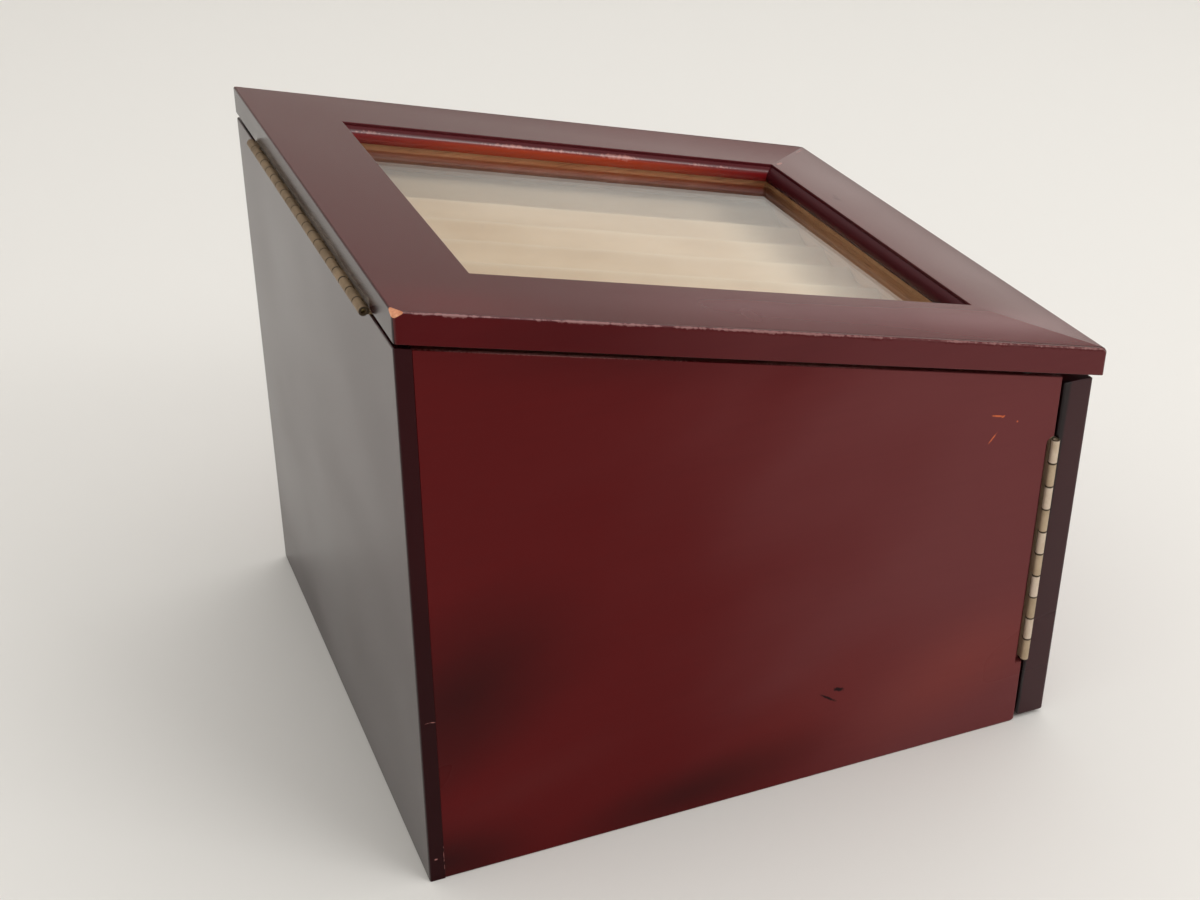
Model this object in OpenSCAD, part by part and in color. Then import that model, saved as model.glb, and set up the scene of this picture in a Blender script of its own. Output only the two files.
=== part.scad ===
// Slant-top pen display case. A glazed, mitred lid swings on a continuous hinge over a
// grooved velvet tray, and a front door covers three shallow pen drawers.
// Millimetres: X runs across the case, Y from front to back and Z up. The origin is the
// middle of the footprint of the panels, on the surface that the case stands on.

/* [Case] */
// Width over the two side panels
case_w = 198; // [182:1:214]
// Depth from the front edges of the sides to the back face
case_d = 210; // [200:1:226]
// Height of the back panel at its outer face
back_h = 181.5; // [174:0.5:188]
// Height of the sides at their front edge
front_h = 133; // [128:0.5:142]
// Thickness of the side panels
side_t = 9; // [8:0.5:11]
// Thickness of the back panel, which laps over the ends of the sides
back_t = 5; // [4:0.5:7]
// Thickness of the base board
base_t = 8; // [6:0.5:10]
// Thickness of the rails in front of and behind the tray well
rail_t = 6.5; // [6:0.5:8]
// Depth of the housings in the sides that hold the boards
housing = 2.5; // [1.5:0.5:4]

/* [Lid] */
// Thickness of the lid frame, square to its face
lid_t = 9; // [8:0.5:11]
// Width of the four lid rails on the face
lid_rail_w = 31.2; // [28:0.2:34]
// How far the lid stands past each side panel
lid_side_over = 1.2; // [0:0.1:3]
// How far the lid stands past the front edges of the sides
lid_front_over = 14.6; // [13:0.1:18]
// Radius of the lid's corners in plan
lid_corner_r = 1.2; // [0.6:0.2:4]
// How far the moulding on the rails bulges into the window
mould_in = 2.2; // [1:0.1:3]
// Radius of the moulding's nose
mould_r = 3.4; // [3.2:0.1:4]
// Depth of the nose's crest below the lid's face
mould_drop = 4.2; // [3.8:0.1:4.6]
// Width of the rebate that the glass lies in
rebate_w = 5; // [4:0.5:7]
// Thickness of the glass
glass_t = 2.5; // [2:0.1:3]
// Gap between the glass edge and the rebate
glass_play = 0.5; // [0.2:0.1:1]
// Width of the strips that hold the glass in
strip_w = 7; // [6:0.5:8]
// Thickness of those strips
strip_t = 2.5; // [1.5:0.5:3]
// Set-back of the strips from the edge of the window
strip_back = 2; // [1:0.5:3]
// Half the gap between two strips at a mitre
mitre_play = 0.1; // [0.05:0.05:0.3]

/* [Pen tray] */
// Depth of the tray's ridges below the underside of the lid
tray_drop = 14; // [12:0.5:17]
// Spacing of the pen grooves
groove_pitch = 20.4; // [17:0.2:24]
// Depth of a pen groove
groove_depth = 4.5; // [3:0.5:6]
// Width of the flat land between two grooves
groove_land = 1.2; // [0.6:0.1:3]
// Thickness of an insert under its grooves
insert_floor = 2.5; // [1.5:0.5:4]
// Thickness of the wooden linings on the walls of the well
liner_t = 1.2; // [0.8:0.1:2]
// Drop of the linings' upper edges below the top of the case
liner_low = 1; // [0.5:0.5:3]
// Thickness of the board under the tray
divider_t = 4; // [3:0.5:6]

/* [Drawers] */
// Thickness of the two shelves between the drawers
shelf_t = 3; // [2:0.5:5]
// Set-back of the drawer fronts from the front edges of the sides
drawer_set = 12; // [11:0.5:16]
// Gap between a drawer and the back panel
drawer_back_gap = 7; // [5:0.5:20]
// Thickness of a drawer front
drawer_front_t = 8; // [7:0.5:10]
// Thickness of a drawer's sides and back
drawer_side_t = 5; // [4:0.5:7]
// Thickness of a drawer's bottom
drawer_bottom_t = 2.5; // [2:0.5:3]
// Depth of the grooves that hold the bottom
drawer_groove = 2; // [1:0.5:3]
// Height of those grooves above the drawer's lower edge
drawer_groove_up = 1.2; // [0.6:0.2:2]
// Gap on each side of a drawer
drawer_play = 0.6; // [0.3:0.1:1]
// Gap above a drawer front
drawer_head = 0.8; // [0.4:0.1:1.5]
// Drop of a drawer's sides below its front's upper edge
drawer_low = 2; // [1:0.5:4]
// Radius of a drawer knob
drawer_knob_r = 4; // [3:0.5:5]
// Stand-off of a drawer knob's tip
drawer_knob_l = 8.5; // [7:0.5:9]
// Length of a drawer knob's spigot
spigot_l = 5; // [3:0.5:6]
// Radius of a drawer knob's spigot
spigot_r = 1.5; // [1:0.1:2]

/* [Door] */
// Thickness of the door
door_t = 11; // [9:0.5:12]
// Gap between the door and the front edges of the sides
door_gap = 1.2; // [1:0.1:1.6]
// Set-in of the door's ends from the sides' outer faces
door_inset = 0.5; // [0.3:0.1:1]
// Height of the door's lower edge
door_lift = 1.6; // [1:0.1:4]
// Gap between the door's upper edge and the lid's lowest edge
door_head = 0.8; // [0.4:0.1:2]
// Radius on the front edges of the door
door_edge_r = 1.2; // [0.6:0.2:3]
// Radius of the door knob's ball
knob_r = 5.5; // [4.5:0.5:7]
// Stand-off of the door knob's tip
knob_l = 13; // [12:0.5:16]
// Distance of the knob from the door's free edge
knob_in = 14; // [10:0.5:20]
// Radius of the screw that holds the knob
knob_screw_r = 1.5; // [1.2:0.1:1.8]
// Length of that screw inside the knob
knob_screw_in = 5; // [3:0.5:6]
// Radius of the catch magnet
magnet_r = 4; // [3:0.5:5]
// Depth of the magnet in its rail
magnet_in = 4; // [3:0.5:5]
// Gap between the magnet and the strike plate
magnet_play = 0.3; // [0.1:0.1:0.5]
// Distance of the catch from the side panel's inner face
catch_in = 14; // [8:1:30]
// Radius of the strike plate
strike_r = 5; // [4:0.5:6]
// Thickness of the strike plate
strike_t = 1.2; // [0.8:0.2:2]

/* [Hinges] */
// Diameter of the hinge barrels
barrel_d = 2.7; // [2.6:0.1:4]
// Diameter of the hinge pins
hinge_pin_d = 1.4; // [1.2:0.1:1.6]
// Running clearance round a pin
pin_play = 0.05; // [0.03:0.01:0.08]
// Gap between two knuckles
knuckle_gap = 0.2; // [0.1:0.05:0.4]
// Gap between a barrel and the other leaf
leaf_relief = 0.25; // [0.15:0.05:0.4]
// How far a pin's ends lie inside the barrel
pin_short = 1.5; // [0.5:0.5:3]
// Length of the lid hinge
lid_hinge_l = 144; // [120:0.6:156]
// How far the middle of the lid hinge lies to the right of the case's middle
lid_hinge_shift = -5; // [-8:0.5:8]
// Number of knuckles on the lid hinge
lid_knuckles = 20; // [12:2:24]
// Thickness of the lid hinge's leaves
lid_leaf_t = 0.7; // [0.5:0.1:1]
// Gap between the lid hinge's closed leaves
lid_leaf_play = 0.1; // [0.06:0.02:0.2]
// Gap between the lid hinge's barrel and the back face
lid_barrel_off = 0.25; // [0.15:0.05:0.5]
// Number of screws in a leaf of the lid hinge
lid_screws = 6; // [4:1:8]
// Length of the screws in the back rail
rail_screw_l = 8; // [6:0.5:10]
// Length of the door hinge
door_hinge_l = 84.8; // [60:0.4:92]
// Height of the door hinge's lower end
door_hinge_z = 26.3; // [18:0.1:30]
// Number of knuckles on the door hinge
door_knuckles = 10; // [6:2:12]
// Thickness of the door hinge's leaves
door_leaf_t = 1; // [0.8:0.1:1.2]
// Gap between the door hinge's closed leaves
door_leaf_play = 0.2; // [0.1:0.05:0.3]
// Depth of the notch behind the door hinge's barrel
notch = 2.6; // [2.4:0.1:3.2]
// Reach of the notch below the door hinge
notch_run_out = 0.9; // [0.5:0.1:3]
// Distance of the notch's rounded upper end from the hinge's top
notch_top_in = 1.5; // [0.5:0.1:1.8]
// Number of screws in a leaf of the door hinge
door_screws = 4; // [3:1:5]
// Length of the screws in the side panel's edge
edge_screw_l = 10; // [8:0.5:14]
// Wood left past the point of a screw in the lid or the door
screw_stop = 2; // [1:0.5:3]
// Radius of a hinge screw
screw_r = 0.9; // [0.7:0.1:1]
// Radius of a hinge screw's head
screw_head_r = 1.7; // [1.4:0.1:1.9]
// Radius of the bumpers under the lid
bumper_r = 3; // [2:0.5:3.5]
// Gap between a bumper and the lid
bumper_play = 0.3; // [0.2:0.1:0.4]
// Distance of the bumpers from the front edges of the sides
bumper_in = 12; // [6:1:30]

/* [Hidden] */
$fn = 48;
// Overshoot of a cut past the face that it leaves
cut = 1;
// Reach of a solid that only trims others
far = 400;
drawers = 3;

front_y = -case_d / 2;
back_y = case_d / 2;
well_back_y = back_y - back_t;
inner_w = case_w - 2 * side_t;
housed_w = inner_w + 2 * housing;
slope = atan((back_h - front_h) / case_d);

// The lid's own frame: x across, y up the slope from the lid's front edge, z square to
// its face with the underside at 0
seam = 2 * lid_leaf_t + lid_leaf_play;
lid_front_y = front_y - lid_front_over;
lid_front_z = front_h + seam / cos(slope) - lid_front_over * tan(slope);
lid_l = (case_d + lid_front_over) / cos(slope);
lid_half_w = case_w / 2 + lid_side_over;
face_shift = lid_t * tan(slope);
win_x = lid_half_w - lid_rail_w;
win_front = face_shift + lid_rail_w;
win_back = lid_l + face_shift - lid_rail_w;
case_top = -seam;
tray_top = -tray_drop;
tray_bottom = tray_top - groove_depth - insert_floor;
divider_bottom = tray_bottom - divider_t;

// Drawer bay
bay_top = lid_front_z + (front_y + rail_t - lid_front_y) * tan(slope)
    + divider_bottom / cos(slope);
cell_h = (bay_top - base_t - (drawers - 1) * shelf_t) / drawers;
drawer_w = inner_w - 2 * drawer_play;
drawer_h = cell_h - drawer_head;
drawer_wall_h = drawer_h - drawer_low;
drawer_y = front_y + drawer_set;
drawer_l = well_back_y - drawer_y - drawer_back_gap;

// Door and its hardware
door_back_y = front_y - door_gap;
door_front_y = door_back_y - door_t;
door_top = lid_front_z - door_head;
door_half_w = case_w / 2 - door_inset;
knob_x = door_half_w - knob_in;
knob_z = (door_lift + door_top) / 2;
catch_x = inner_w / 2 - catch_in;
catch_z = (bay_top + front_h) / 2;

// Hinges
barrel_r = barrel_d / 2;
pin_r = hinge_pin_d / 2;
clear_r = barrel_r + leaf_relief;
lid_axis_y = back_y + lid_barrel_off + barrel_r;
lid_axis_n = -seam / 2;
lid_axis_u = (lid_axis_y - lid_front_y + lid_axis_n * sin(slope)) / cos(slope);
lid_screw_line = (lid_axis_y - well_back_y + rail_t / 2) / cos(slope);
lid_leaf_w = lid_screw_line + 2 * screw_head_r;
door_axis_x = -case_w / 2;
door_axis_y = front_y - door_gap / 2;
door_leaf_w = side_t - door_inset;
door_screw_line = (notch + door_leaf_w) / 2;
door_leaf_out = door_leaf_play / 2 + door_leaf_t;

wood = "#5a1a18";
edge_wood = "#3c1418";
plain_wood = "#7d3b2a";
velvet = "#d8cdb0";
brass = "#b39b66";
steel = "#9a9a9c";

// Places its children in the lid's own frame.
module on_slope() {
    translate([0, lid_front_y, lid_front_z]) rotate([slope, 0, 0]) children();
}

// Everything between two planes that lie parallel to the lid.
module slope_slab(low, high) {
    on_slope() translate([-far / 2, -far / 4, low]) cube([far, far, high - low]);
}

// Carries an outline drawn in Y and Z across the case, centred on X.
module across(w) {
    rotate([90, 0, 90]) translate([0, 0, -w / 2]) linear_extrude(w) children();
}

// Carries an outline drawn in X and Z from one Y to another.
module lengthwise(from_y, to_y) {
    translate([0, to_y, 0]) rotate([90, 0, 0]) linear_extrude(to_y - from_y) children();
}

// A rectangle between two corners, all four corners rounded.
module rounded_rect(x0, y0, x1, y1, r) {
    translate([x0 + r, y0]) square([x1 - x0 - 2 * r, y1 - y0]);
    translate([x0, y0 + r]) square([x1 - x0, y1 - y0 - 2 * r]);
    for (x = [x0 + r, x1 - r], y = [y0 + r, y1 - r]) translate([x, y]) circle(r);
}

// Carcase

// The wedge under the plane of the case's top edges, between two values of Y.
module under_top(w, y0, y1, bottom) {
    intersection() {
        translate([-w / 2, y0, bottom]) cube([w, y1 - y0, back_h + seam]);
        slope_slab(-far, case_top);
    }
}

module side_panel_blank() {
    under_top(side_t, front_y, well_back_y, 0);
}

module side_housings() {
    base_board();
    tray_board();
    drawer_shelf(1);
    drawer_shelf(2);
}

module side_panel_left() {
    color(wood) difference() {
        translate([-(case_w - side_t) / 2, 0, 0]) side_panel_blank();
        side_housings();
        door_hinge_notch();
        door_hinge_mortise();
        door_hinge_case_screws();
    }
}

module side_panel_right() {
    color(wood) difference() {
        translate([(case_w - side_t) / 2, 0, 0]) side_panel_blank();
        side_housings();
    }
}

module back_panel() {
    color(edge_wood) under_top(case_w, well_back_y, back_y, 0);
}

module base_board() {
    color(plain_wood) translate([-housed_w / 2, front_y, 0])
        cube([housed_w, well_back_y - front_y, base_t]);
}

module well_rail_front() {
    color(plain_wood) difference() {
        under_top(inner_w, front_y, front_y + rail_t, bay_top);
        catch_magnet();
    }
}

module well_rail_back() {
    color(plain_wood) difference() {
        intersection() {
            under_top(inner_w, well_back_y - rail_t, well_back_y, 0);
            slope_slab(tray_bottom, case_top);
        }
        lid_hinge_case_screws();
    }
}

module tray_board() {
    color(plain_wood) intersection() {
        under_top(housed_w, front_y + rail_t, well_back_y, 0);
        slope_slab(divider_bottom, tray_bottom);
    }
}

module drawer_shelf(i) {
    color(plain_wood)
        translate([-housed_w / 2, drawer_y, base_t + i * cell_h + (i - 1) * shelf_t])
        cube([housed_w, well_back_y - drawer_y, shelf_t]);
}

// Pen tray and the wood-lined well that it lies in

well_front_y = front_y + rail_t + liner_t;
well_rear_y = well_back_y - rail_t - liner_t;
groove_w = groove_pitch - groove_land;
groove_r = (groove_w * groove_w / 4 + groove_depth * groove_depth) / (2 * groove_depth);

// The grooves of an insert of a given width, cut down from z = 0.
module pen_grooves(w, y0, y1) {
    count = floor((w - groove_land) / groove_pitch);
    for (i = [0 : count - 1])
        translate([(i - (count - 1) / 2) * groove_pitch, y0, groove_r - groove_depth])
            rotate([-90, 0, 0]) cylinder(r = groove_r, h = y1 - y0);
}

module pen_tray() {
    w = inner_w - 2 * liner_t;
    color(velvet) difference() {
        intersection() {
            under_top(w, well_front_y, well_rear_y, 0);
            slope_slab(tray_bottom, tray_top);
        }
        on_slope() translate([0, 0, tray_top]) pen_grooves(w, -cut, lid_l + cut);
    }
}

// One lining: the stretch of a board between the tray's board and the case's top.
module well_liner(x0, x1, y0, y1, low) {
    color(plain_wood) intersection() {
        translate([x0, y0, 0]) cube([x1 - x0, y1 - y0, back_h]);
        slope_slab(low, case_top - liner_low);
    }
}

module well_liner_left() {
    well_liner(-inner_w / 2, liner_t - inner_w / 2, well_front_y, well_rear_y, tray_bottom);
}

module well_liner_right() {
    mirror([1, 0, 0]) well_liner_left();
}

module well_liner_front() {
    well_liner(-inner_w / 2, inner_w / 2, front_y + rail_t, well_front_y, tray_bottom);
}

module well_liner_back() {
    well_liner(-inner_w / 2, inner_w / 2, well_rear_y, well_rear_y + liner_t, tray_bottom);
}

module lid_bumpers() {
    u = (front_y + bumper_in - lid_front_y) / cos(slope);
    color("#2b2624") on_slope() for (side = [-1, 1])
        translate([side * (case_w - side_t) / 2, u, case_top])
            cylinder(r = bumper_r, h = seam - bumper_play);
}

// Glazed lid: four mitred rails, cut plumb at the front and back

// Section of a rail, with x outward from the edge of the window and y up from the
// underside: a square body, a rounded nose under a small step, and a rebate for the glass.
module rail_section() {
    difference() {
        union() {
            square([lid_rail_w + face_shift + cut, lid_t]);
            intersection() {
                translate([mould_r - mould_in, lid_t - mould_drop]) circle(mould_r);
                translate([-mould_in - cut, 0]) square([mould_in + 2 * cut, lid_t]);
            }
        }
        translate([-mould_in - cut, -cut])
            square([mould_in + cut + rebate_w, glass_t + cut]);
    }
}

// The plan of the lid as a plumb prism, which trims all four rails.
module lid_outline() {
    translate([0, 0, lid_front_z - cut]) linear_extrude(far)
        rounded_rect(-lid_half_w, lid_front_y, lid_half_w, back_y, lid_corner_r);
}

// The wedge of the plan between the two mitres at the ends of a rail. The rail's window
// edge runs from (0, 0) to (0, length) with the rail on the side of negative x.
module mitre_wedge(length) {
    out = lid_rail_w + 2 * face_shift;
    translate([0, 0, -lid_t]) linear_extrude(3 * lid_t) polygon([
        [mould_in + cut, mould_in + cut],
        [mould_in + cut, length - mould_in - cut],
        [-out, length + out],
        [-out, -out]
    ]);
}

module side_rail() {
    length = win_back - win_front;
    intersection() {
        translate([0, win_front, 0]) mitre_wedge(length);
        mirror([1, 0, 0]) lengthwise(-lid_rail_w, lid_l + lid_rail_w) rail_section();
    }
}

module end_rail() {
    intersection() {
        rotate([0, 0, 90]) translate([0, -win_x, 0]) mitre_wedge(2 * win_x);
        mirror([0, 1, 0]) across(2 * lid_half_w + lid_rail_w) rail_section();
    }
}

module lid_rail_left() {
    color(wood) intersection() {
        lid_outline();
        on_slope() translate([-win_x, 0, 0]) side_rail();
    }
}

module lid_rail_right() {
    mirror([1, 0, 0]) lid_rail_left();
}

module lid_rail_front() {
    color(wood) intersection() {
        lid_outline();
        on_slope() translate([0, win_front, 0]) end_rail();
    }
}

module lid_rail_back() {
    color(wood) difference() {
        intersection() {
            lid_outline();
            on_slope() translate([0, win_back, 0]) mirror([0, 1, 0]) end_rail();
        }
        lid_hinge_lid_screws();
    }
}

module lid_glass() {
    lap = rebate_w - glass_play;
    color("#cfdcd8", 0.3) on_slope()
        translate([-win_x - lap, win_front - lap, 0])
            cube([2 * (win_x + lap), win_back - win_front + 2 * lap, glass_t]);
}

// One strip under the glass, mitred at both ends: its inner edge runs along x = 0 between
// the corners of the ring, and it lies on the side of positive x.
module glass_strip(half_l) {
    end = half_l + strip_back - mitre_play;
    translate([strip_back, 0, -strip_t]) linear_extrude(strip_t) polygon([
        [0, -end],
        [strip_w, -end - strip_w],
        [strip_w, end + strip_w],
        [0, end]
    ]);
}

module glass_strips() {
    half_l = (win_back - win_front) / 2;
    color(plain_wood) on_slope() translate([0, (win_front + win_back) / 2, 0]) {
        for (side = [0, 1]) mirror([side, 0, 0]) translate([win_x, 0, 0]) glass_strip(half_l);
        for (side = [0, 1]) mirror([0, side, 0]) rotate([0, 0, 90])
            translate([half_l, 0, 0]) glass_strip(win_x);
    }
}

// Hinges: knuckled leaves, pins and countersunk screws

// A screw with its head's face at z = 0 and its point up.
module wood_screw(length, head_h) {
    rotate_extrude() polygon([
        [0, 0],
        [screw_head_r, 0],
        [screw_r, head_h],
        [screw_r, length - 2 * screw_r],
        [0, length]
    ]);
}

// Screws evenly spaced along a leaf of given length, on a line beside the hinge's axis.
module leaf_screws(length, count, line, head_z, screw_l, head_h) {
    for (i = [0 : count - 1])
        translate([(i + 0.5) * length / count, line, head_z]) wood_screw(screw_l, head_h);
}

// One leaf, with the hinge's axis along X from 0, the plate on the side of positive Y and
// above the axis, and every second knuckle starting with the one numbered first.
module hinge_leaf(length, knuckles, first, width, t, play, screws, line) {
    pitch = length / knuckles;
    difference() {
        union() {
            translate([knuckle_gap / 2, 0, play]) cube([length - knuckle_gap, width, t]);
            for (i = [first : 2 : knuckles - 1])
                translate([i * pitch + knuckle_gap / 2, 0, 0]) rotate([0, 90, 0])
                    cylinder(r = barrel_r, h = pitch - knuckle_gap);
        }
        for (i = [1 - first : 2 : knuckles - 1])
            translate([i * pitch - knuckle_gap / 2, -clear_r, -clear_r])
                cube([pitch + knuckle_gap, 2 * clear_r, 2 * clear_r]);
        translate([-cut, 0, 0]) rotate([0, 90, 0])
            cylinder(r = pin_r + pin_play, h = length + 2 * cut);
        leaf_screws(length, screws, line, play, width, t);
    }
}

module hinge_pin(length) {
    translate([pin_short, 0, 0]) rotate([0, 90, 0])
        cylinder(r = pin_r, h = length - 2 * pin_short);
}

// The lid hinge's frame: X along the axis from its left end, Y forward along the seam.
module at_lid_hinge() {
    on_slope() translate([lid_hinge_shift - lid_hinge_l / 2, lid_axis_u, lid_axis_n])
        mirror([0, 1, 0]) children();
}

module lid_leaf(first) {
    hinge_leaf(lid_hinge_l, lid_knuckles, first, lid_leaf_w, lid_leaf_t, lid_leaf_play / 2,
        lid_screws, lid_screw_line);
}

module lid_hinge_case_leaf() {
    color(brass) at_lid_hinge() mirror([0, 0, 1]) lid_leaf(0);
}

module lid_hinge_lid_leaf() {
    color(brass) at_lid_hinge() lid_leaf(1);
}

module lid_hinge_pin() {
    color(brass) at_lid_hinge() hinge_pin(lid_hinge_l);
}

module lid_hinge_case_screws() {
    color(brass) at_lid_hinge() mirror([0, 0, 1]) leaf_screws(lid_hinge_l, lid_screws,
        lid_screw_line, lid_leaf_play / 2, rail_screw_l, lid_leaf_t);
}

module lid_hinge_lid_screws() {
    color(brass) at_lid_hinge() leaf_screws(lid_hinge_l, lid_screws, lid_screw_line,
        lid_leaf_play / 2, lid_t - screw_stop, lid_leaf_t);
}

// The door hinge's frame: X up the axis from its lower end, Y across the case from the
// left face, and positive Z towards the back.
module at_door_hinge() {
    translate([door_axis_x, door_axis_y, door_hinge_z])
        rotate([-90, 0, 0]) rotate([0, 0, -90]) children();
}

module door_leaf(first) {
    hinge_leaf(door_hinge_l, door_knuckles, first, door_leaf_w, door_leaf_t,
        door_leaf_play / 2, door_screws, door_screw_line);
}

module door_hinge_case_leaf() {
    color(brass) at_door_hinge() door_leaf(0);
}

module door_hinge_door_leaf() {
    color(brass) at_door_hinge() mirror([0, 0, 1]) door_leaf(1);
}

module door_hinge_pin() {
    color(brass) at_door_hinge() hinge_pin(door_hinge_l);
}

module door_hinge_case_screws() {
    color(brass) at_door_hinge() leaf_screws(door_hinge_l, door_screws, door_screw_line,
        door_leaf_play / 2, edge_screw_l, door_leaf_t);
}

module door_hinge_door_screws() {
    color(brass) at_door_hinge() mirror([0, 0, 1]) leaf_screws(door_hinge_l, door_screws,
        door_screw_line, door_leaf_play / 2, door_leaf_out + door_t - screw_stop - door_gap / 2,
        door_leaf_t);
}

// The notch in the side panel's edge that leaves room for the barrel: square at its lower
// end, and rounded by the cutter at its upper end.
module door_hinge_notch() {
    top = door_hinge_l - notch_top_in;
    translate([door_axis_x - cut, front_y, door_hinge_z]) {
        translate([0, -cut, -notch_run_out])
            cube([notch + cut, notch + cut, top + notch_run_out]);
        translate([0, 0, top]) rotate([0, 90, 0]) cylinder(r = notch, h = notch + cut);
    }
}

// The shallow bed of both leaves, which lie let into the side's edge and the door's back.
module door_hinge_mortise() {
    at_door_hinge() translate([0, 0, -door_leaf_out])
        cube([door_hinge_l, door_leaf_w, 2 * door_leaf_out]);
}

// Door, knob and catch

// Outline of a board with its two front corners rounded: x across and y into the board.
module eased_board(w, t, r) {
    translate([r - w / 2, 0]) square([w - 2 * r, t]);
    translate([-w / 2, r]) square([w, t - r]);
    for (x = [r - w / 2, w / 2 - r]) translate([x, r]) circle(r);
}

module door_panel() {
    door_h = door_top - door_lift;
    color(wood) difference() {
        translate([0, door_front_y, door_lift]) intersection() {
            linear_extrude(door_h) eased_board(2 * door_half_w, door_t, door_edge_r);
            translate([0, 0, door_h / 2]) across(2 * door_half_w) rotate(-90)
                eased_board(door_h, door_t, door_edge_r);
        }
        translate([door_axis_x - cut, door_axis_y - clear_r, door_hinge_z - knuckle_gap])
            cube([clear_r + cut, clear_r, door_hinge_l + 2 * knuckle_gap]);
        door_hinge_mortise();
        door_hinge_door_screws();
        door_knob_screw();
        catch_strike();
    }
}

// A turned knob with its foot on z = 0, a waist and a flattened ball.
module knob_profile(r, length) {
    foot_h = r / 4;
    intersection() {
        union() {
            square([r * 0.85, foot_h]);
            square([r / 2, length - r]);
            translate([0, length - r]) circle(r);
        }
        square([r, length]);
    }
}

module at_knob() {
    translate([knob_x, door_front_y, knob_z]) rotate([90, 0, 0]) children();
}

module door_knob() {
    color(brass) difference() {
        at_knob() rotate_extrude() knob_profile(knob_r, knob_l);
        door_knob_screw();
    }
}

module door_knob_screw() {
    color(steel) translate([knob_x, door_back_y, knob_z]) rotate([90, 0, 0])
        rotate_extrude() polygon([
            [0, 0],
            [2 * knob_screw_r, 0],
            [knob_screw_r, knob_screw_r],
            [knob_screw_r, door_t + knob_screw_in],
            [0, door_t + knob_screw_in]
        ]);
}

module catch_magnet() {
    color(steel) translate([catch_x, front_y + magnet_in, catch_z]) rotate([90, 0, 0])
        cylinder(r = magnet_r, h = magnet_in + door_gap - magnet_play);
}

module catch_strike() {
    color(steel) translate([catch_x, door_back_y, catch_z]) rotate([90, 0, 0])
        cylinder(r = strike_r, h = strike_t);
}

// Drawers, numbered from the lowest

module at_drawer(i) {
    translate([0, drawer_y, base_t + (i - 1) * (cell_h + shelf_t)]) children();
}

module drawer_floor_board() {
    inset = drawer_side_t - drawer_groove;
    translate([inset - drawer_w / 2, drawer_front_t - drawer_groove, drawer_groove_up])
        cube([
            drawer_w - 2 * inset,
            drawer_l - drawer_front_t - drawer_side_t + 2 * drawer_groove,
            drawer_bottom_t
        ]);
}

module drawer_pull() {
    translate([0, 0, drawer_h / 2]) rotate([90, 0, 0]) {
        rotate_extrude() knob_profile(drawer_knob_r, drawer_knob_l);
        translate([0, 0, -spigot_l]) cylinder(r = spigot_r, h = spigot_l + drawer_knob_l / 4);
    }
}

module drawer_front(i) {
    color(wood) at_drawer(i) difference() {
        translate([-drawer_w / 2, 0, 0]) cube([drawer_w, drawer_front_t, drawer_h]);
        drawer_floor_board();
        drawer_pull();
    }
}

module drawer_side_left(i) {
    color(plain_wood) at_drawer(i) difference() {
        translate([-drawer_w / 2, drawer_front_t, 0])
            cube([drawer_side_t, drawer_l - drawer_front_t, drawer_wall_h]);
        drawer_floor_board();
    }
}

module drawer_side_right(i) {
    mirror([1, 0, 0]) drawer_side_left(i);
}

module drawer_back(i) {
    color(plain_wood) at_drawer(i) difference() {
        translate([drawer_side_t - drawer_w / 2, drawer_l - drawer_side_t, 0])
            cube([drawer_w - 2 * drawer_side_t, drawer_side_t, drawer_wall_h]);
        drawer_floor_board();
    }
}

module drawer_bottom(i) {
    color(plain_wood) at_drawer(i) drawer_floor_board();
}

module drawer_insert(i) {
    w = drawer_w - 2 * drawer_side_t;
    insert_t = insert_floor + groove_depth;
    color(velvet) at_drawer(i)
        translate([0, 0, drawer_groove_up + drawer_bottom_t + insert_t]) difference() {
            translate([-w / 2, drawer_front_t, -insert_t])
                cube([w, drawer_l - drawer_front_t - drawer_side_t, insert_t]);
            pen_grooves(w, 0, drawer_l);
        }
}

module drawer_knob(i) {
    color(brass) at_drawer(i) drawer_pull();
}

side_panel_left();
side_panel_right();
back_panel();
base_board();
well_rail_front();
well_rail_back();
tray_board();
drawer_shelf(1);  // drawer_shelf_1
drawer_shelf(2);  // drawer_shelf_2
pen_tray();
well_liner_left();
well_liner_right();
well_liner_front();
well_liner_back();
lid_bumpers();
lid_rail_front();
lid_rail_back();
lid_rail_left();
lid_rail_right();
lid_glass();
glass_strips();
lid_hinge_case_leaf();
lid_hinge_lid_leaf();
lid_hinge_pin();
lid_hinge_case_screws();
lid_hinge_lid_screws();
door_panel();
door_hinge_case_leaf();
door_hinge_door_leaf();
door_hinge_pin();
door_hinge_case_screws();
door_hinge_door_screws();
door_knob();
door_knob_screw();
catch_magnet();
catch_strike();
drawer_front(1);  // drawer_1_front
drawer_side_left(1);  // drawer_1_side_left
drawer_side_right(1);  // drawer_1_side_right
drawer_back(1);  // drawer_1_back
drawer_bottom(1);  // drawer_1_bottom
drawer_insert(1);  // drawer_1_insert
drawer_knob(1);  // drawer_1_knob
drawer_front(2);  // drawer_2_front
drawer_side_left(2);  // drawer_2_side_left
drawer_side_right(2);  // drawer_2_side_right
drawer_back(2);  // drawer_2_back
drawer_bottom(2);  // drawer_2_bottom
drawer_insert(2);  // drawer_2_insert
drawer_knob(2);  // drawer_2_knob
drawer_front(3);  // drawer_3_front
drawer_side_left(3);  // drawer_3_side_left
drawer_side_right(3);  // drawer_3_side_right
drawer_back(3);  // drawer_3_back
drawer_bottom(3);  // drawer_3_bottom
drawer_insert(3);  // drawer_3_insert
drawer_knob(3);  // drawer_3_knob
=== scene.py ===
import math

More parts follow.
